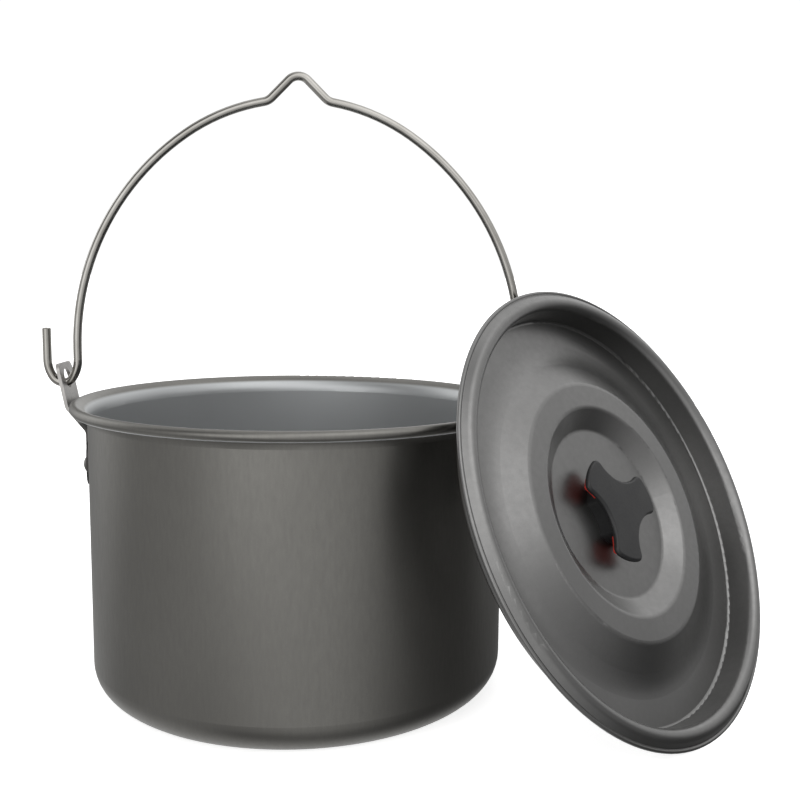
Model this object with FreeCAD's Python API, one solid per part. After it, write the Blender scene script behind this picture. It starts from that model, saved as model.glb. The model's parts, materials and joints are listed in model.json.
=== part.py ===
"""Hanging camp pot with a wire bail and a lift-off lid, lid leaning against the pot.

Frame: millimetres, +Z up. The origin is the centre of the pot's flat bottom.
+X is the pot's right side, -Y its front.
"""
import FreeCAD, Part
import math
import os

V = FreeCAD.Vector
AXIS_Z = V(0, 0, 1)
FULL_TURN = 360
TOLERANCE = 0.01
CUTTER_REACH = 40.0            # long enough to cut right through a lug

# Pot: one drawn sheet, open rolled rim
POT_WALL_RADIUS = 115.8        # outside of the straight wall
POT_RIM_RADIUS = 125.0         # outside of the rolled rim
POT_HEIGHT = 161.3
POT_SHEET = 1.3
POT_CORNER = 17.0              # centreline radius between bottom and wall
RIM_CURL = 2.1                 # centreline radius of the rolled rim
RIM_CURL_SWEEP = 245
FLARE_SWEEP = 70               # how far the wall leans out before it rolls over

# Bail: one bent wire
WIRE_RADIUS = 2.4
BAIL_AZIMUTH = -4.35           # direction of the right-hand lug, seen from above
BAIL_HALF_WIDTH = 124.5        # from the pot's axis to each straight leg
LEG_TOP = 188.5                # where the straight legs start to bend in
ARCH_TOP = 326.3               # height the arch would reach without its hump
ARCH_SIDE_SWEEP = 55.7
HUMP_TOP = 338.5
HUMP_CROWN = 7.5
HUMP_FLANK = 45
HUMP_FOOT = 8.0
HOOK_HALF_WIDTH = 8.5
HOOK_BOTTOM = 168.9            # height of the wire's centre at the hook's lowest point
HOOK_RISE = 13.0               # from the lowest point to the straight legs
HOOK_SIDE_SWEEP = 35
HOOK_TIP = 199.8
WIRE_END_CHAMFER = 0.5

# Lugs: a steel strap riveted to the wall on each side, with a hole for the bail
LUG_SHEET = 1.8
LUG_PAD_WIDTH = 40.0
LUG_PAD_BOTTOM = 113.0
LUG_PAD_TOP = 137.8
LUG_PAD_CORNER = 9.0
LUG_NECK_WIDTH = 24.0
LUG_NECK_START = 130.0
LUG_BEND_HEIGHT = 141.0        # where the strap leaves the wall
LUG_BEND_OUT = 40              # angle of the strap under the rim, from upright
LUG_LEAN = 11.5                # angle of the strap above the rim, from upright
LUG_BEND_RADIUS = 5.0
LUG_ABOVE_BEND = 127.2         # distance from the pot's axis at the upper bend
LUG_TOP = 180.4
LUG_TOP_CORNER = 4.0
LUG_HOLE_RADIUS = 5.6
LUG_HOLE_HEIGHT = 171.9
LUG_STANDOFF = 0.3             # the flat neck clears the round wall by this much

# Rivets: two to a lug, side by side
RIVET_SPACING = 23.0
RIVET_HEIGHT = 124.6
RIVET_SHANK = 2.4
RIVET_HOLE = 2.45
RIVET_HEAD = 5.2
RIVET_DOME = 2.4
RIVET_INNER_HEAD = 1.6
RIVET_INNER_EDGE = 1.0
RIVET_GAP = 0.02               # air between a head and the sheet under it

# Lid: one pressed sheet. Heights are along its axis, from just above its rolled edge
LID_RADIUS = 124.3
LID_SHEET = 1.0
LID_CURL = 0.6                 # centreline radius of the tightly rolled edge
LID_CURL_SWEEP = 200
LID_CURL_LEVEL = -0.5          # height of the rolled edge's centre
LID_DISC_RADIUS = 46.6
LID_DISC = -11.3               # upper face of the centre disc
LID_DISC_CONE = 33
LID_PLATEAU = -4.1             # upper face of the raised ring
LID_PLATEAU_OUTER = 70.7
LID_SLOPE = 24
LID_SLOPE_EDGE = 5.0
LID_SLOPE_FOOT = 30.0
LID_VALLEY = -13.0             # upper face of the valley that drops into the pot
LID_SPIGOT_RADIUS = 112.9      # outside, at its foot, of the wall that drops into the pot
LID_SPIGOT_STEEPNESS = 87
LID_CREST = 3.6                # top of the rounded shoulder
LID_PRESS_RADIUS = 3.5
LID_FOOT_RADIUS = 1.8
LID_CREST_RADIUS = 4.0
LID_SHOULDER_FALL = 45         # slope from the crest down to the groove inside the rolled edge
LID_GROOVE_RADIUS = 0.8
LID_GROOVE_RISE = 35

# Lid at rest: leaning on the tip of the right-hand hook, one edge on the ground
LEAN_AZIMUTH = -47.9           # direction in which the lid's upper face looks
LEAN_ELEVATION = 26.5
LID_ASIDE = 81.4               # lid centre to the right of the pot's axis, along the lid
LID_RIM_GAP = 0.6              # the pot's rim to the lid's underside
GROUND_GAP = 0.15

# Knob: black cap whose hub stands on the lid, a red pad under each wing, and one screw from below
KNOB_LOBES = 3
KNOB_TURN = 7                  # direction of the first lobe, in the lid's plane
KNOB_RADIUS = 29.3
KNOB_WAIST = 15.2
KNOB_SCOOP = 22.0
KNOB_CORNER = 4.0
KNOB_TOP = -1.2
KNOB_UNDERSIDE = -3.9          # under the wings
KNOB_TOP_EDGE = 1.7
KNOB_LOWER_EDGE = 0.8
HUB_RADIUS = 18.5
HUB_INSET = 0.5                # of the hub's scoops behind the cap's
HUB_CORNER = 2.5
PAD_THICKNESS = 2.2
PAD_INSET = 2.6
PAD_CORNER = 1.4
PAD_GAP = 0.02                 # between the hub and a pad
SCREW_RADIUS = 2.4
SCREW_HOLE = 2.6
SCREW_REACH = 5.0              # length of screw inside the insert
SCREW_HEAD_RADIUS = 4.6
SCREW_HEAD_HEIGHT = 2.8
SCREW_HEAD_EDGE = 1.2
SCREW_CROSS_WIDTH = 1.0
SCREW_CROSS_LENGTH = 5.0
SCREW_CROSS_DEPTH = 1.6
INSERT_RADIUS = 4.0
INSERT_LENGTH = 6.0
INSERT_BORE = 2.45
FLAT_WASHER_RADIUS = 6.5
FLAT_WASHER_THICKNESS = 1.0
SPRING_WASHER_RADIUS = 4.6
SPRING_WASHER_THICKNESS = 1.2
SPRING_WASHER_GAP = 1.0
SPRING_WASHER_SLANT = 25

# Levels along the lid's axis
INSERT_TOP = LID_DISC + INSERT_LENGTH
LID_UNDERSIDE = LID_DISC - LID_SHEET
FLAT_WASHER_BOTTOM = LID_UNDERSIDE - FLAT_WASHER_THICKNESS
SPRING_WASHER_BOTTOM = FLAT_WASHER_BOTTOM - SPRING_WASHER_THICKNESS
SCREW_BOTTOM = SPRING_WASHER_BOTTOM - SCREW_HEAD_HEIGHT
SCREW_TIP = LID_DISC + SCREW_REACH


def sine(degrees):
    return math.sin(math.radians(degrees))


def cosine(degrees):
    return math.cos(math.radians(degrees))


class Bend:
    """A centreline of straight runs and tangent arcs in the XZ plane, as sheet or wire is bent."""

    def __init__(self, x, z, heading):
        self.x = x
        self.z = z
        self.heading = heading
        self.runs = []

    def side(self):
        return V(-sine(self.heading), 0, cosine(self.heading))

    def straight(self, length):
        start = V(self.x, 0, self.z)
        side = self.side()
        self.x += length * cosine(self.heading)
        self.z += length * sine(self.heading)
        self.runs.append((start, None, V(self.x, 0, self.z), side, side))

    def straight_to_x(self, x):
        self.straight((x - self.x) / cosine(self.heading))

    def straight_to_z(self, z):
        self.straight((z - self.z) / sine(self.heading))

    def turn(self, radius, angle):
        """Positive angles turn anticlockwise."""
        hand = math.copysign(radius, angle)
        first = self.side()
        start = V(self.x, 0, self.z)
        centre = start + first * hand
        self.heading += angle / 2
        middle = centre - self.side() * hand
        middle_side = self.side()
        self.heading += angle / 2
        last = self.side()
        end = centre - last * hand
        self.x = end.x
        self.z = end.z
        self.runs.append((start, (middle, middle_side), end, first, last))

    def edges(self, offset=0):
        made = []
        for start, middle, end, first, last in self.runs:
            begin = start + first * offset
            finish = end + last * offset
            if middle is None:
                made.append(Part.LineSegment(begin, finish).toShape())
            else:
                point, side = middle
                made.append(Part.Arc(begin, point + side * offset, finish).toShape())
        return made

    def sheet(self, thickness):
        """The face of a sheet of this thickness that follows the centreline."""
        upper = self.edges(thickness / 2)
        lower = self.edges(-thickness / 2)
        caps = []
        for index, which in ((0, 0), (-1, -1)):
            a = (upper[index].firstVertex(), upper[index].lastVertex())[which].Point
            b = (lower[index].firstVertex(), lower[index].lastVertex())[which].Point
            caps.append(Part.LineSegment(a, b).toShape())
        return Part.Face(Part.Wire(Part.__sortEdges__(upper + lower + caps)))


def quarter_radii(width, height, side_sweep):
    """Radii of a side arc and a crown arc that together fill a quarter of this width and height."""
    spare = (height - width) / (1 - 1 / cosine(side_sweep) + math.tan(math.radians(side_sweep)))
    side_radius = width + spare
    crown_radius = side_radius - spare / cosine(side_sweep)
    return side_radius, crown_radius


def straights_round_groove(across, down, fall, rise, radius):
    """Lengths of the straights before and after a groove that falls, turns and rises, this far in all."""
    left_across = across - radius * (sine(fall) + sine(rise))
    left_down = down + radius * (cosine(fall) - cosine(rise))
    falling = (left_across * sine(rise) + left_down * cosine(rise)) / sine(fall + rise)
    rising = (falling * sine(fall) - left_down) / sine(rise)
    return falling, rising


def spun(face):
    return face.revolve(V(0, 0, 0), AXIS_Z, FULL_TURN)


def turned_about_z(shape, angle):
    copy = shape.copy()
    copy.rotate(V(0, 0, 0), AXIS_Z, angle)
    return copy


def upright_cylinder(radius, bottom, top):
    return Part.makeCylinder(radius, top - bottom, V(0, 0, bottom), AXIS_Z)


def outward_cylinder(radius, start, end, height):
    return Part.makeCylinder(radius, end - start, V(start, 0, height), V(1, 0, 0))


def ring(outer, inner, bottom, top):
    return upright_cylinder(outer, bottom, top).cut(upright_cylinder(inner, bottom, top))


def level_edges(shape, height):
    return [e for e in shape.Edges
            if abs(e.BoundBox.ZMin - height) < TOLERANCE and abs(e.BoundBox.ZMax - height) < TOLERANCE]


def upright_edges(shape):
    return [e for e in shape.Edges if abs(e.tangentAt(e.FirstParameter).z) > 1 - TOLERANCE]


def rivet_angles():
    half = math.degrees(RIVET_SPACING / 2 / POT_WALL_RADIUS)
    return {"front": -half, "back": half}


def lug_azimuths():
    return {"right": BAIL_AZIMUTH, "left": BAIL_AZIMUTH + FULL_TURN / 2}


def rivet_holes(azimuth):
    """Cutters through wall and strap for one lug's rivets."""
    start = POT_WALL_RADIUS - CUTTER_REACH / 4
    cutter = outward_cylinder(RIVET_HOLE, start, start + CUTTER_REACH / 2, RIVET_HEIGHT)
    return [turned_about_z(cutter, azimuth + angle) for angle in rivet_angles().values()]


def make_pot():
    middle = POT_WALL_RADIUS - POT_SHEET / 2
    rim_centre = POT_RIM_RADIUS - RIM_CURL - POT_SHEET / 2
    lean = cosine(FLARE_SWEEP)
    flare_radius = (rim_centre - RIM_CURL * lean - middle) / (1 - lean)
    flare_start = (POT_HEIGHT - POT_SHEET / 2 - RIM_CURL
                   + RIM_CURL * sine(FLARE_SWEEP) - flare_radius * sine(FLARE_SWEEP))
    wall = Bend(0, POT_SHEET / 2, 0)
    wall.straight_to_x(middle - POT_CORNER)
    wall.turn(POT_CORNER, 90)
    wall.straight_to_z(flare_start)
    wall.turn(flare_radius, -FLARE_SWEEP)
    wall.turn(RIM_CURL, -RIM_CURL_SWEEP)
    pot = spun(wall.sheet(POT_SHEET))
    for azimuth in lug_azimuths().values():
        for cutter in rivet_holes(azimuth):
            pot = pot.cut(cutter)
    return pot


def outward_edges(block):
    """The edges that run straight away from the pot."""
    return [e for e in block.Edges if abs(e.tangentAt(e.FirstParameter).x) > 1 - TOLERANCE]


def make_lug_pad():
    """A rounded rectangle of sheet that hugs the wall."""
    sleeve = ring(POT_WALL_RADIUS + LUG_SHEET, POT_WALL_RADIUS, LUG_PAD_BOTTOM, LUG_PAD_TOP)
    corner = V(POT_WALL_RADIUS - CUTTER_REACH / 2, -LUG_PAD_WIDTH / 2, LUG_PAD_BOTTOM)
    outline = Part.makeBox(CUTTER_REACH, LUG_PAD_WIDTH, LUG_PAD_TOP - LUG_PAD_BOTTOM, corner)
    return sleeve.common(outline.makeFillet(LUG_PAD_CORNER, outward_edges(outline)))


def make_lug_neck():
    """The strap bent out round the rim, flat-topped, with the bail's hole in it."""
    side = Bend(POT_WALL_RADIUS + LUG_STANDOFF + LUG_SHEET / 2, LUG_NECK_START, 90)
    side.straight_to_z(LUG_BEND_HEIGHT)
    side.turn(LUG_BEND_RADIUS, -LUG_BEND_OUT)
    side.straight_to_x(LUG_ABOVE_BEND)
    side.turn(LUG_BEND_RADIUS, LUG_BEND_OUT - LUG_LEAN)
    side.straight_to_z(LUG_TOP)
    strip = side.sheet(LUG_SHEET)
    strip.translate(V(0, -LUG_NECK_WIDTH / 2, 0))
    neck = strip.extrude(V(0, LUG_NECK_WIDTH, 0))
    start = POT_WALL_RADIUS - CUTTER_REACH / 4
    end = start + CUTTER_REACH
    upper = Part.makeBox(CUTTER_REACH, LUG_NECK_WIDTH, LUG_TOP - LUG_NECK_START,
                         V(start, -LUG_NECK_WIDTH / 2, LUG_NECK_START))
    corners = [e for e in outward_edges(upper) if e.CenterOfMass.z > LUG_TOP - TOLERANCE]
    outline = upper.makeFillet(LUG_TOP_CORNER, corners)
    return neck.common(outline).cut(outward_cylinder(LUG_HOLE_RADIUS, start, end, LUG_HOLE_HEIGHT))


def make_lug(azimuth):
    lug = turned_about_z(make_lug_pad().fuse(make_lug_neck()).removeSplitter(), azimuth)
    return lug.cut(rivet_holes(azimuth))


def make_rivet(azimuth):
    """Domed head outside the strap, shank, and the head set inside the pot."""
    strap_face = POT_WALL_RADIUS + LUG_SHEET + RIVET_GAP
    inner_face = math.sqrt((POT_WALL_RADIUS - POT_SHEET) ** 2 - RIVET_HEAD ** 2) - RIVET_GAP
    dome_radius = (RIVET_HEAD ** 2 + RIVET_DOME ** 2) / (2 * RIVET_DOME)
    ball = Part.makeSphere(dome_radius, V(strap_face + RIVET_DOME - dome_radius, 0, RIVET_HEIGHT))
    dome = ball.common(outward_cylinder(RIVET_HEAD, strap_face, strap_face + RIVET_DOME, RIVET_HEIGHT))
    set_end = inner_face - RIVET_INNER_HEAD
    shank = outward_cylinder(RIVET_SHANK, inner_face - RIVET_INNER_HEAD / 2, strap_face + RIVET_DOME / 2,
                             RIVET_HEIGHT)
    inner = outward_cylinder(RIVET_HEAD, set_end, inner_face, RIVET_HEIGHT)
    rim = [e for e in inner.Edges if abs(e.BoundBox.XMin - set_end) < TOLERANCE and e.Closed]
    inner = inner.makeFillet(RIVET_INNER_EDGE, [e for e in rim if e.BoundBox.XLength < TOLERANCE])
    return turned_about_z(dome.fuse([shank, inner]).removeSplitter(), azimuth)


def make_bail():
    """Free hook tip, hook, straight leg and half the arch up to the hump's crown, then the same mirrored."""
    hook_centre = BAIL_HALF_WIDTH + HOOK_HALF_WIDTH
    hook_side, hook_crown = quarter_radii(HOOK_HALF_WIDTH, HOOK_RISE, HOOK_SIDE_SWEEP)
    arch_side, arch_crown = quarter_radii(BAIL_HALF_WIDTH, ARCH_TOP - LEG_TOP, ARCH_SIDE_SWEEP)
    arch_centre = ARCH_TOP - arch_crown
    hump_centre = HUMP_TOP - HUMP_CROWN
    foot_reach = arch_crown + HUMP_FOOT
    towards_flank = ((hump_centre - arch_centre) * cosine(HUMP_FLANK) + HUMP_CROWN + HUMP_FOOT) / foot_reach
    foot_angle = HUMP_FLANK - math.degrees(math.acos(towards_flank))
    across = foot_reach * sine(foot_angle) * cosine(HUMP_FLANK)
    along = (hump_centre - arch_centre - foot_reach * cosine(foot_angle)) * sine(HUMP_FLANK)
    flank = across + along

    straight_leg = LEG_TOP - HOOK_BOTTOM - HOOK_RISE
    free_leg = HOOK_TIP - HOOK_BOTTOM - HOOK_RISE
    half = [
        (None, free_leg),
        (hook_side, HOOK_SIDE_SWEEP),
        (hook_crown, 180 - 2 * HOOK_SIDE_SWEEP),
        (hook_side, HOOK_SIDE_SWEEP),
        (None, straight_leg),
        (arch_side, -ARCH_SIDE_SWEEP),
        (arch_crown, ARCH_SIDE_SWEEP + foot_angle - 90),
        (HUMP_FOOT, HUMP_FLANK - foot_angle),
        (None, flank),
        (HUMP_CROWN, -HUMP_FLANK),
    ]
    wire = Bend(-hook_centre - HOOK_HALF_WIDTH, HOOK_TIP, -90)
    for radius, amount in half + half[::-1]:
        if radius is None:
            wire.straight(amount)
        else:
            wire.turn(radius, amount)
    spine = Part.Wire(wire.edges())
    start = V(-hook_centre - HOOK_HALF_WIDTH, 0, HOOK_TIP)
    section = Part.Wire(Part.makeCircle(WIRE_RADIUS, start, AXIS_Z))
    bail = spine.makePipeShell([section], True, True)
    bail = bail.makeChamfer(WIRE_END_CHAMFER, level_edges(bail, HOOK_TIP))
    return turned_about_z(bail, BAIL_AZIMUTH)


def lid_centreline():
    """From the lid's axis outwards: disc, cone, raised ring, slope, valley, wall, crest and rolled edge."""
    half = LID_SHEET / 2
    edge = Bend(0, LID_DISC - half, 0)
    edge.straight_to_x(LID_DISC_RADIUS - LID_PRESS_RADIUS * math.tan(math.radians(LID_DISC_CONE / 2)))
    edge.turn(LID_PRESS_RADIUS, LID_DISC_CONE)
    edge.straight_to_z(LID_PLATEAU - half - LID_PRESS_RADIUS * (1 - cosine(LID_DISC_CONE)))
    edge.turn(LID_PRESS_RADIUS, -LID_DISC_CONE)
    edge.straight_to_x(LID_PLATEAU_OUTER - LID_SLOPE_EDGE * math.tan(math.radians(LID_SLOPE / 2)))
    edge.turn(LID_SLOPE_EDGE, -LID_SLOPE)
    edge.straight_to_z(LID_VALLEY - half + LID_SLOPE_FOOT * (1 - cosine(LID_SLOPE)))
    edge.turn(LID_SLOPE_FOOT, LID_SLOPE)
    edge.straight_to_x(LID_SPIGOT_RADIUS - half - LID_FOOT_RADIUS)
    edge.turn(LID_FOOT_RADIUS, LID_SPIGOT_STEEPNESS)
    edge.straight_to_z(LID_CREST - half - LID_CREST_RADIUS * (1 - cosine(LID_SPIGOT_STEEPNESS)))
    edge.turn(LID_CREST_RADIUS, -LID_SPIGOT_STEEPNESS - LID_SHOULDER_FALL)
    across = LID_RADIUS - half - LID_CURL - LID_CURL * sine(LID_GROOVE_RISE) - edge.x
    down = edge.z - LID_CURL_LEVEL - LID_CURL * cosine(LID_GROOVE_RISE)
    falling, rising = straights_round_groove(across, down, LID_SHOULDER_FALL, LID_GROOVE_RISE,
                                             LID_GROOVE_RADIUS)
    edge.straight(falling)
    edge.turn(LID_GROOVE_RADIUS, LID_SHOULDER_FALL + LID_GROOVE_RISE)
    edge.straight(rising)
    edge.turn(LID_CURL, -LID_CURL_SWEEP)
    return edge


def make_lid_shell():
    shell = spun(lid_centreline().sheet(LID_SHEET))
    return shell.cut(upright_cylinder(SCREW_HOLE, LID_UNDERSIDE, LID_DISC))


def winged_plate(reach, inset, corner, bottom, top):
    """Wings that end on one circle, with a round scoop between each two; inset moves the scoops inwards."""
    outline = Part.Face(Part.Wire(Part.makeCircle(reach)))
    away = KNOB_WAIST + KNOB_SCOOP
    for lobe in range(KNOB_LOBES):
        between = KNOB_TURN + (lobe + 0.5) * FULL_TURN / KNOB_LOBES
        centre = V(away * cosine(between), away * sine(between), 0)
        outline = outline.cut(Part.Face(Part.Wire(Part.makeCircle(KNOB_SCOOP + inset, centre))))
    outline.translate(V(0, 0, bottom))
    plate = outline.extrude(V(0, 0, top - bottom))
    return plate.makeFillet(corner, upright_edges(plate))


def make_knob_hub(growth):
    return winged_plate(HUB_RADIUS + growth, HUB_INSET - growth, HUB_CORNER, LID_DISC, KNOB_UNDERSIDE)


def make_knob_pads():
    """The three red pads, in the order of their wings."""
    pads = winged_plate(KNOB_RADIUS - PAD_INSET, PAD_INSET, PAD_CORNER, KNOB_UNDERSIDE - PAD_THICKNESS,
                        KNOB_UNDERSIDE).cut(make_knob_hub(PAD_GAP))

    def wing_number(pad):
        middle = pad.CenterOfMass
        turned = math.degrees(math.atan2(middle.y, middle.x)) - KNOB_TURN
        return round(turned * KNOB_LOBES / FULL_TURN) % KNOB_LOBES

    return sorted(pads.Solids, key=wing_number)


def make_knob_cap():
    wings = winged_plate(KNOB_RADIUS, 0, KNOB_CORNER, KNOB_UNDERSIDE, KNOB_TOP)
    wings = wings.makeFillet(KNOB_TOP_EDGE, level_edges(wings, KNOB_TOP))
    wings = wings.makeFillet(KNOB_LOWER_EDGE, level_edges(wings, KNOB_UNDERSIDE))
    cap = wings.fuse(make_knob_hub(0)).removeSplitter()
    return cap.cut(upright_cylinder(INSERT_RADIUS, LID_DISC, INSERT_TOP))


def make_knob_insert():
    return ring(INSERT_RADIUS, INSERT_BORE, LID_DISC, INSERT_TOP)


def make_flat_washer():
    return ring(FLAT_WASHER_RADIUS, SCREW_HOLE, FLAT_WASHER_BOTTOM, LID_UNDERSIDE)


def make_spring_washer():
    washer = ring(SPRING_WASHER_RADIUS, SCREW_HOLE, SPRING_WASHER_BOTTOM, FLAT_WASHER_BOTTOM)
    slot = Part.makeBox(SPRING_WASHER_RADIUS * 2, SPRING_WASHER_GAP, SPRING_WASHER_THICKNESS * 4,
                        V(0, -SPRING_WASHER_GAP / 2, SPRING_WASHER_BOTTOM - SPRING_WASHER_THICKNESS))
    middle = SPRING_WASHER_BOTTOM + SPRING_WASHER_THICKNESS / 2
    slot.rotate(V(0, 0, middle), V(1, 0, 0), SPRING_WASHER_SLANT)
    return washer.cut(slot)


def make_screw():
    head = upright_cylinder(SCREW_HEAD_RADIUS, SCREW_BOTTOM, SPRING_WASHER_BOTTOM)
    head = head.makeFillet(SCREW_HEAD_EDGE, level_edges(head, SCREW_BOTTOM))
    shank = upright_cylinder(SCREW_RADIUS, SCREW_BOTTOM + SCREW_CROSS_DEPTH, SCREW_TIP)
    screw = head.fuse(shank).removeSplitter()
    for length, width in ((SCREW_CROSS_LENGTH, SCREW_CROSS_WIDTH), (SCREW_CROSS_WIDTH, SCREW_CROSS_LENGTH)):
        corner = V(-length / 2, -width / 2, SCREW_BOTTOM)
        screw = screw.cut(Part.makeBox(length, width, SCREW_CROSS_DEPTH, corner))
    return screw


def lid_placement():
    """From the lid's own frame, axis along +Z, to where it leans."""
    curl = LID_CURL + LID_SHEET / 2
    height = (GROUND_GAP + curl + (LID_RADIUS - curl) * cosine(LEAN_ELEVATION)
              - LID_CURL_LEVEL * sine(LEAN_ELEVATION))
    rim = RIM_CURL + POT_SHEET / 2
    rim_reach = ((POT_RIM_RADIUS - rim) * cosine(LEAN_ELEVATION)
                 + (POT_HEIGHT - rim) * sine(LEAN_ELEVATION) + rim)
    depth = LID_SHEET - LID_VALLEY
    out = (rim_reach + LID_RIM_GAP + depth - height * sine(LEAN_ELEVATION)) / cosine(LEAN_ELEVATION)
    turn = LEAN_AZIMUTH + 90
    centre = V(out * cosine(LEAN_AZIMUTH) + LID_ASIDE * cosine(turn),
               out * sine(LEAN_AZIMUTH) + LID_ASIDE * sine(turn),
               height)
    lean = FreeCAD.Rotation(AXIS_Z, turn).multiply(FreeCAD.Rotation(V(1, 0, 0), 90 - LEAN_ELEVATION))
    return FreeCAD.Placement(centre, lean)


def all_parts():
    parts = {"pot_body": make_pot(), "bail": make_bail()}
    for side, azimuth in lug_azimuths().items():
        parts["lug_" + side] = make_lug(azimuth)
        for place, angle in rivet_angles().items():
            parts["rivet_" + side + "_" + place] = make_rivet(azimuth + angle)
    lid = {
        "lid_shell": make_lid_shell(),
        "knob_cap": make_knob_cap(),
        "knob_insert": make_knob_insert(),
        "knob_screw": make_screw(),
        "flat_washer": make_flat_washer(),
        "spring_washer": make_spring_washer(),
    }
    for wing, pad in enumerate(make_knob_pads()):
        lid["knob_pad_" + str(wing + 1)] = pad
    for name, shape in lid.items():
        moved = shape.copy()
        moved.Placement = lid_placement().multiply(moved.Placement)
        parts[name] = moved
    return parts


def main():
    os.makedirs("parts", exist_ok=True)
    for name, shape in all_parts().items():
        shape.exportStep("parts/" + name + ".step")
        print(name, "solids", len(shape.Solids), "valid", shape.isValid(), "volume", round(shape.Volume, 1))


main()
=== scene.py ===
"""Looks for the camp cooking pot: pot, wire bail, riveted lugs and the leaning lid with its winged knob.

Metres, +Z up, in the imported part's own frame.
"""

import json
import math

import bpy
from mathutils import Matrix, Vector


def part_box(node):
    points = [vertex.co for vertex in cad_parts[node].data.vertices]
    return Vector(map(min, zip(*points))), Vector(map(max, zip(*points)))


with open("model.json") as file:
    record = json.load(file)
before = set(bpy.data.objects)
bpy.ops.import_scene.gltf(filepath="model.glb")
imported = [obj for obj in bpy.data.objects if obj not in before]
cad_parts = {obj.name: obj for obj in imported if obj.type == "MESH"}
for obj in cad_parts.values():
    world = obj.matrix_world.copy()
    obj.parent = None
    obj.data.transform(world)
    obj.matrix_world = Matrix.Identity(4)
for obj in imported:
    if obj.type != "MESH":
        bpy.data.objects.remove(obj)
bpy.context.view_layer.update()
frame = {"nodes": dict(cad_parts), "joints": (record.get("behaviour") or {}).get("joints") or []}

# Camera: where the object is seen from. Angles in radians, lens and sensor in millimetres.
CAMERA_PLACE = Vector((0.0, -0.58143, 0.23412))
CAMERA_PITCH_DOWN = 0.1268
CAMERA_TURN_RIGHT = 0.0987
CAMERA_ROLL = 0.0097
CAMERA_LENS = 46.12
CAMERA_SENSOR = 36.0
CAMERA_NEAREST = 0.01

# Studio: soft cards around the object, each with its azimuth, elevation and half-width in degrees, and its
# strength. The strengths were first fitted, through test renders, to the brightness of the photo by least
# squares, then rounded and adjusted.
CARDS = {
    "front": (-93, 12, 60, 0.5),
    "front, left": (-120, 12, 34, 1.3),
    "front, high": (-75, 47, 42, 1.4),
    "right": (-30, 12, 34, 0.4),
    "right, high": (-15, 46, 42, 0.85),
    "right, behind": (32, 12, 34, 0.75),
    "behind": (85, 6, 30, 1.0),
    "behind, high": (62, 46, 42, 0.95),
    "left": (-160, 8, 40, 0.2),
    "left, behind": (150, 12, 36, 1.2),
    "left, high": (140, 46, 42, 0.75),
    "overhead": (0, 88, 45, 0.5),
    "low, left": (-160, -22, 45, 0.4),
    "low, front": (-80, -22, 50, 0.5),
    "low, behind": (110, -60, 60, 0.8),
}
ROOM_LIGHT = 0.1                 # light from every side, also between the cards
BACKDROP = 1.05                  # the white that only the camera sees
FLOOR_GLOW = 0.75
FLOOR_REACH = 30.0
PAD_PAINTED_GLOW = 0.1                   # painted glow: the red pads give off light of their own, for a red reflection on the lid

# Bands of a noise texture's values, from the middle of them to nearly all of them
CORE_NOISE = (0.35, 0.65)
MOST_NOISE = (0.3, 0.7)
WIDE_NOISE = (0.2, 0.8)


# ---------------------------------------------------------------- places, read from the frame

def joint_axis(name):
    for joint in frame["joints"]:
        if joint["name"] == name:
            return Vector(joint["axis"]).normalized()


def middle(node):
    low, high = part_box(node)
    return (low + high) / 2


POT_HEART = (0.0, 0.0, 0.03)     # the pot's inside looks at this point, up to the turn into the rim
HEART_BAND = (-0.01, 0.02)       # how far a surface looks at it, from outside to inside
LUG_PAINTED_SHADE_BAND = (0.147, 0.153)   # heights between which the lugs turn from a painted shade under the rim to their own bright tone
LID_AXIS = joint_axis("lid_lift")
LID_CENTRE = middle("knob_insert")
LID_SIDEWAYS = Vector((0, 0, 1)).cross(LID_AXIS).normalized()
LID_UPWARDS = LID_AXIS.cross(LID_SIDEWAYS)
LID_TURN = Matrix((LID_SIDEWAYS, LID_UPWARDS, LID_AXIS)).transposed().to_euler()


# ---------------------------------------------------------------- node materials

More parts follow.
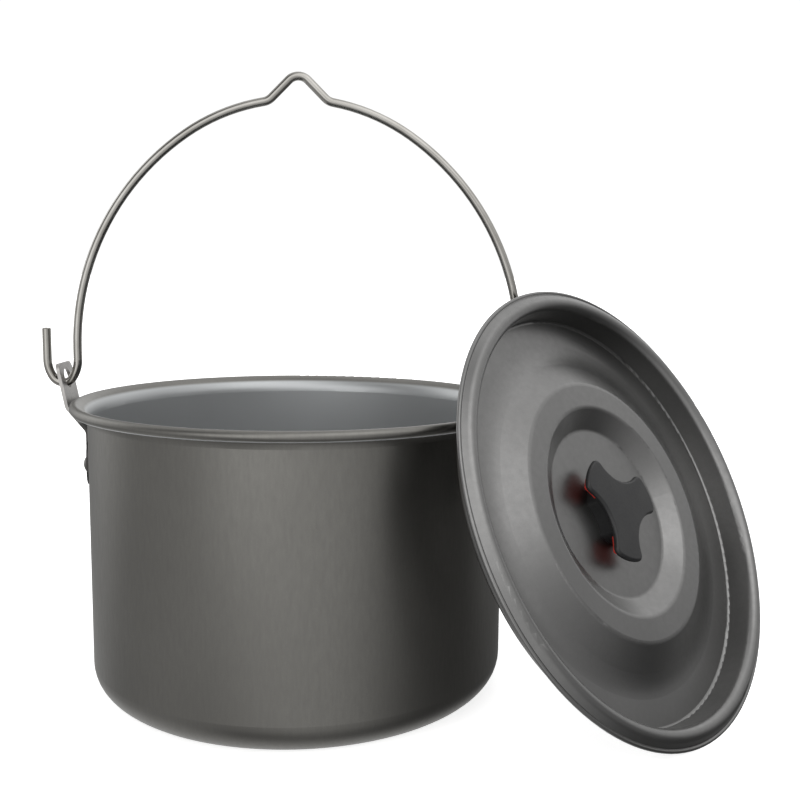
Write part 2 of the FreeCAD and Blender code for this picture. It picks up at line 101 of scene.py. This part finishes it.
class Surface:
    """A Principled material and the nodes that feed it."""

    def __init__(self, name, metallic, roughness, specular=0.5):
        self.material = bpy.data.materials.new(name)
        self.material.use_nodes = True
        self.nodes = self.material.node_tree.nodes
        self.links = self.material.node_tree.links
        self.shader = self.nodes["Principled BSDF"]
        self.shader.inputs["Metallic"].default_value = metallic
        self.shader.inputs["Roughness"].default_value = roughness
        self.shader.inputs["Specular IOR Level"].default_value = specular
        self.normal = None

    def node(self, kind, **settings):
        made = self.nodes.new(kind)
        for key, value in settings.items():
            setattr(made, key, value)
        return made

    def place(self, centre=(0, 0, 0), turn=(0, 0, 0), stretch=(1, 1, 1)):
        """Coordinates in metres in a piece's own frame, stretched along its axes."""
        source = self.node("ShaderNodeTexCoord")
        own = self.node("ShaderNodeMapping", vector_type="TEXTURE")
        own.inputs["Location"].default_value = centre
        own.inputs["Rotation"].default_value = turn
        self.links.new(source.outputs["Object"], own.inputs["Vector"])
        scaled = self.node("ShaderNodeVectorMath", operation="MULTIPLY")
        scaled.inputs[1].default_value = stretch
        self.links.new(own.outputs["Vector"], scaled.inputs[0])
        return scaled.outputs["Vector"]

    def noise(self, vector, scale, detail=2.0, roughness=0.5):
        """A noise with this many features per metre."""
        made = self.node("ShaderNodeTexNoise")
        made.inputs["Scale"].default_value = scale
        made.inputs["Detail"].default_value = detail
        made.inputs["Roughness"].default_value = roughness
        self.links.new(vector, made.inputs["Vector"])
        return made.outputs["Fac"]

    def spread(self, value, band, onto=(0.0, 1.0)):
        """The value stretched from one band onto another."""
        made = self.node("ShaderNodeMapRange")
        for key, number in zip(("From Min", "From Max", "To Min", "To Max"), band + onto):
            made.inputs[key].default_value = number
        self.links.new(value, made.inputs["Value"])
        return made.outputs["Result"]

    def add(self, first, second):
        made = self.node("ShaderNodeMath", operation="ADD")
        self.links.new(first, made.inputs[0])
        self.links.new(second, made.inputs[1])
        return made.outputs["Value"]

    def height_of(self, vector):
        made = self.node("ShaderNodeSeparateXYZ")
        self.links.new(vector, made.inputs["Vector"])
        return made.outputs["Z"]

    def facing(self, point):
        """Positive where the surface looks towards a point of the piece's own frame, negative elsewhere."""
        source = self.node("ShaderNodeTexCoord")
        to_point = self.node("ShaderNodeVectorMath", operation="SUBTRACT")
        to_point.inputs[0].default_value = point
        self.links.new(source.outputs["Object"], to_point.inputs[1])
        match = self.node("ShaderNodeVectorMath", operation="DOT_PRODUCT")
        self.links.new(source.outputs["Normal"], match.inputs[0])
        self.links.new(to_point.outputs["Vector"], match.inputs[1])
        return match.outputs["Value"]

    def mix(self, amount, first, second):
        made = self.node("ShaderNodeMix", data_type="RGBA")
        colour_in = [s for s in made.inputs if s.type == "RGBA"]
        for socket, value in ((made.inputs[0], amount), (colour_in[0], first), (colour_in[1], second)):
            if isinstance(value, tuple):
                socket.default_value = value
            else:
                self.links.new(value, socket)
        return [s for s in made.outputs if s.type == "RGBA"][0]

    def colour(self, value):
        self.links.new(value, self.shader.inputs["Base Color"])

    def metal(self, value):
        self.links.new(value, self.shader.inputs["Metallic"])

    def rough(self, value):
        self.links.new(value, self.shader.inputs["Roughness"])

    def mottled(self, pattern, first, second):
        """A colour that a pattern carries from the first to the second."""
        return self.mix(self.spread(pattern, MOST_NOISE), first, second)

    def rough_between(self, pattern, smoothest, roughest):
        self.rough(self.spread(pattern, MOST_NOISE, (smoothest, roughest)))

    def bump(self, height, distance, strength):
        """Adds a relief of this many metres on top of any earlier one."""
        made = self.node("ShaderNodeBump")
        made.inputs["Distance"].default_value = distance
        made.inputs["Strength"].default_value = strength
        self.links.new(height, made.inputs["Height"])
        if self.normal is not None:
            self.links.new(self.normal, made.inputs["Normal"])
        self.normal = made.outputs["Normal"]
        self.links.new(self.normal, self.shader.inputs["Normal"])


def rgb(red, green, blue):
    return (red, green, blue, 1.0)


WHITE = rgb(1, 1, 1)


def anodised_tone(made, own, streaks, smooth, light, dark, bright):
    """Satin grey with soft clouds, streaks left by the forming tools and a fine blasted grain.

    It is as smooth as given, or a little rougher along the streaks.
    """
    clouds = made.noise(own, scale=14.0, detail=3.0)
    grain = made.noise(own, scale=2600.0)
    tone = made.mix(made.spread(clouds, CORE_NOISE), light, bright)
    tone = made.mix(made.spread(streaks, MOST_NOISE, (0.0, 0.4)), tone, dark)
    tone = made.mix(made.spread(grain, CORE_NOISE, (0.0, 0.3)), tone, dark)
    streaked = made.spread(streaks, WIDE_NOISE, (smooth, smooth + 0.08))
    clouded = made.spread(clouds, MOST_NOISE, (-0.02, 0.02))
    made.rough(made.add(streaked, clouded))
    made.bump(grain, distance=0.00002, strength=0.5)
    made.bump(streaks, distance=0.00002, strength=0.5)
    return tone


def pot_material():
    made = Surface("pot_anodised", metallic=1.0, roughness=0.38)
    draw_marks = made.noise(made.place(stretch=(1, 1, 0.2)), scale=620.0, detail=4.0, roughness=0.65)
    outside = anodised_tone(made, made.place(), draw_marks, smooth=0.34, light=rgb(0.176, 0.172, 0.160),
                            dark=rgb(0.140, 0.137, 0.129), bright=rgb(0.190, 0.186, 0.173))
    # Painted light: the pot's inside is a lighter, less metallic copy of the anodised grey, brightened to
    # make up for the light that reaches in.
    inside_painted_light = made.spread(made.facing(POT_HEART), HEART_BAND)
    made.colour(made.mix(inside_painted_light, outside, rgb(0.39, 0.400, 0.405)))
    made.metal(made.spread(inside_painted_light, (0.0, 1.0), (1.0, 0.7)))
    return made.material


def lid_material():
    made = Surface("lid_anodised", metallic=1.0, roughness=0.38)
    own = made.place(LID_CENTRE, LID_TURN)
    mottle = made.noise(own, scale=260.0, detail=3.0, roughness=0.6)
    made.colour(anodised_tone(made, own, mottle, smooth=0.29, light=rgb(0.200, 0.199, 0.196),
                              dark=rgb(0.168, 0.167, 0.165), bright=rgb(0.224, 0.222, 0.219)))
    return made.material


def wire_material():
    made = Surface("wire_stainless", metallic=1.0, roughness=0.2)
    own = made.place()
    clouds = made.noise(own, scale=60.0, detail=3.0)
    scuffs = made.noise(own, scale=900.0, detail=3.0)
    made.colour(made.mottled(clouds, rgb(0.28, 0.27, 0.25), rgb(0.37, 0.36, 0.34)))
    made.rough_between(scuffs, 0.1, 0.2)
    made.bump(scuffs, distance=0.00001, strength=0.4)
    return made.material


def strap_material():
    made = Surface("strap_brushed", metallic=1.0, roughness=0.34)
    own = made.place()
    brushing = made.noise(made.place(stretch=(1, 1, 0.03)), scale=2600.0)
    clouds = made.noise(own, scale=80.0)
    tone = made.mottled(clouds, rgb(0.33, 0.32, 0.31), rgb(0.42, 0.41, 0.395))
    tone = made.mix(made.spread(brushing, MOST_NOISE, (0.0, 0.4)), tone, rgb(0.27, 0.265, 0.255))
    # Below the rim the lugs are painted nearly black: painted shade standing in for the rim's shadow on
    # them.
    above_painted_shade = made.spread(made.height_of(own), LUG_PAINTED_SHADE_BAND)
    made.colour(made.mix(above_painted_shade, rgb(0.05, 0.049, 0.047), tone))
    made.rough_between(brushing, 0.26, 0.42)
    made.bump(brushing, distance=0.00002, strength=0.5)
    return made.material


def rivet_material():
    made = Surface("rivet_satin", metallic=1.0, roughness=0.4)
    clouds = made.noise(made.place(), scale=400.0, detail=3.0)
    made.colour(made.mottled(clouds, rgb(0.10, 0.098, 0.094), rgb(0.15, 0.147, 0.14)))
    made.rough_between(clouds, 0.34, 0.46)
    made.bump(clouds, distance=0.00004, strength=0.5)
    return made.material


def knob_material():
    made = Surface("knob_black", metallic=0.0, roughness=0.36, specular=0.35)
    own = made.place(LID_CENTRE, LID_TURN)
    leather = made.noise(own, scale=700.0, detail=4.0, roughness=0.6)
    clouds = made.noise(own, scale=90.0)
    made.colour(made.mottled(clouds, rgb(0.006, 0.006, 0.0065), rgb(0.010, 0.010, 0.010)))
    made.rough_between(leather, 0.3, 0.44)
    made.bump(leather, distance=0.00005, strength=0.5)
    return made.material


def pad_material():
    made = Surface("pad_red_silicone", metallic=0.0, roughness=0.42)
    # Painted glow: the pads shine red light of their own, though they are no lamp.
    made.shader.inputs["Emission Color"].default_value = rgb(0.75, 0.03, 0.01)
    made.shader.inputs["Emission Strength"].default_value = PAD_PAINTED_GLOW
    own = made.place(LID_CENTRE, LID_TURN)
    clouds = made.noise(own, scale=160.0)
    grain = made.noise(own, scale=1500.0)
    made.colour(made.mottled(clouds, rgb(0.24, 0.010, 0.007), rgb(0.31, 0.016, 0.010)))
    made.rough_between(grain, 0.36, 0.5)
    made.bump(grain, distance=0.00003, strength=0.4)
    return made.material


def brass_material():
    made = Surface("insert_brass_turned", metallic=1.0, roughness=0.3)
    rings = made.noise(made.place(LID_CENTRE, LID_TURN, (0.05, 0.05, 1)), scale=6000.0)
    made.colour(made.mottled(rings, rgb(0.60, 0.43, 0.17), rgb(0.74, 0.55, 0.26)))
    made.rough_between(rings, 0.24, 0.38)
    return made.material


def fastener_material():
    made = Surface("fastener_bright", metallic=1.0, roughness=0.28)
    marks = made.noise(made.place(LID_CENTRE, LID_TURN), scale=1500.0, detail=3.0)
    made.colour(made.mottled(marks, rgb(0.50, 0.50, 0.49), rgb(0.64, 0.64, 0.63)))
    made.rough_between(marks, 0.2, 0.36)
    made.bump(marks, distance=0.00002, strength=0.4)
    return made.material


def dress(material, *names):
    for name in names:
        piece = frame["nodes"][name]
        piece.data.materials.clear()
        piece.data.materials.append(material)


dress(pot_material(), "pot_body")
dress(lid_material(), "lid_shell")
dress(wire_material(), "bail")
dress(strap_material(), "lug_left", "lug_right")
dress(rivet_material(), "rivet_left_front", "rivet_left_back", "rivet_right_front", "rivet_right_back")
dress(knob_material(), "knob_cap")
dress(pad_material(), "knob_pad_1", "knob_pad_2", "knob_pad_3")
dress(brass_material(), "knob_insert")
dress(fastener_material(), "knob_screw", "flat_washer", "spring_washer")


# ---------------------------------------------------------------- stage, light and camera

def make_floor():
    floor_mesh = bpy.data.meshes.new("floor")
    corners = [(-FLOOR_REACH, -FLOOR_REACH, 0), (FLOOR_REACH, -FLOOR_REACH, 0),
               (FLOOR_REACH, FLOOR_REACH, 0), (-FLOOR_REACH, FLOOR_REACH, 0)]
    floor_mesh.from_pydata(corners, [], [(0, 1, 2, 3)])
    floor = bpy.data.objects.new("floor", floor_mesh)
    bpy.context.scene.collection.objects.link(floor)
    made = Surface("floor_white", metallic=0.0, roughness=0.9)
    made.shader.inputs["Base Color"].default_value = rgb(0.9, 0.9, 0.9)
    made.shader.inputs["Emission Color"].default_value = WHITE
    made.shader.inputs["Emission Strength"].default_value = FLOOR_GLOW
    floor_mesh.materials.append(made.material)
    floor.visible_glossy = False


def towards(azimuth, elevation):
    """A unit vector; azimuth is counted from +X towards +Y, in degrees."""
    across = math.cos(math.radians(elevation))
    return Vector((across * math.cos(math.radians(azimuth)), across * math.sin(math.radians(azimuth)),
                   math.sin(math.radians(elevation))))


def make_world():
    """A white backdrop for the eye, and soft light from a dim room with a few bright cards."""
    world = bpy.data.worlds.new("studio")
    bpy.context.scene.world = world
    world.use_nodes = True
    nodes = world.node_tree.nodes
    links = world.node_tree.links
    room = nodes["Background"]
    room.inputs["Color"].default_value = WHITE
    heading = nodes.new("ShaderNodeTexCoord").outputs["Generated"]
    total = nodes.new("ShaderNodeValue").outputs["Value"]
    total.default_value = ROOM_LIGHT
    for azimuth, elevation, half_width, strength in CARDS.values():
        match = nodes.new("ShaderNodeVectorMath")
        match.operation = "DOT_PRODUCT"
        match.inputs[1].default_value = towards(azimuth, elevation)
        links.new(heading, match.inputs[0])
        card = nodes.new("ShaderNodeMapRange")
        card.interpolation_type = "SMOOTHSTEP"
        card.inputs["From Min"].default_value = math.cos(math.radians(half_width))
        card.inputs["To Max"].default_value = strength
        links.new(match.outputs["Value"], card.inputs["Value"])
        added = nodes.new("ShaderNodeMath")
        added.operation = "ADD"
        links.new(total, added.inputs[1])
        links.new(card.outputs["Result"], added.inputs[0])
        total = added.outputs["Value"]
    links.new(total, room.inputs["Strength"])
    backdrop = nodes.new("ShaderNodeBackground")
    backdrop.inputs["Color"].default_value = WHITE
    backdrop.inputs["Strength"].default_value = BACKDROP
    seen = nodes.new("ShaderNodeLightPath").outputs["Is Camera Ray"]
    choice = nodes.new("ShaderNodeMixShader")
    links.new(seen, choice.inputs[0])
    links.new(room.outputs["Background"], choice.inputs[1])
    links.new(backdrop.outputs["Background"], choice.inputs[2])
    links.new(choice.outputs["Shader"], nodes["World Output"].inputs["Surface"])


def make_camera():
    forward = Vector((math.sin(CAMERA_TURN_RIGHT) * math.cos(CAMERA_PITCH_DOWN),
                      math.cos(CAMERA_TURN_RIGHT) * math.cos(CAMERA_PITCH_DOWN),
                      -math.sin(CAMERA_PITCH_DOWN)))
    right = forward.cross(Vector((0, 0, 1))).normalized()
    up = right.cross(forward)
    rolled_right = right * math.cos(CAMERA_ROLL) + up * math.sin(CAMERA_ROLL)
    rolled_up = up * math.cos(CAMERA_ROLL) - right * math.sin(CAMERA_ROLL)
    data = bpy.data.cameras.new("camera")
    data.lens = CAMERA_LENS
    data.sensor_width = CAMERA_SENSOR
    data.clip_start = CAMERA_NEAREST
    camera = bpy.data.objects.new("camera", data)
    bpy.context.scene.collection.objects.link(camera)
    turn = Matrix((rolled_right, rolled_up, -forward)).transposed()
    camera.matrix_world = Matrix.Translation(CAMERA_PLACE) @ turn.to_4x4()
    bpy.context.scene.camera = camera


make_floor()
make_world()
make_camera()
bpy.context.scene.view_settings.view_transform = "Standard"
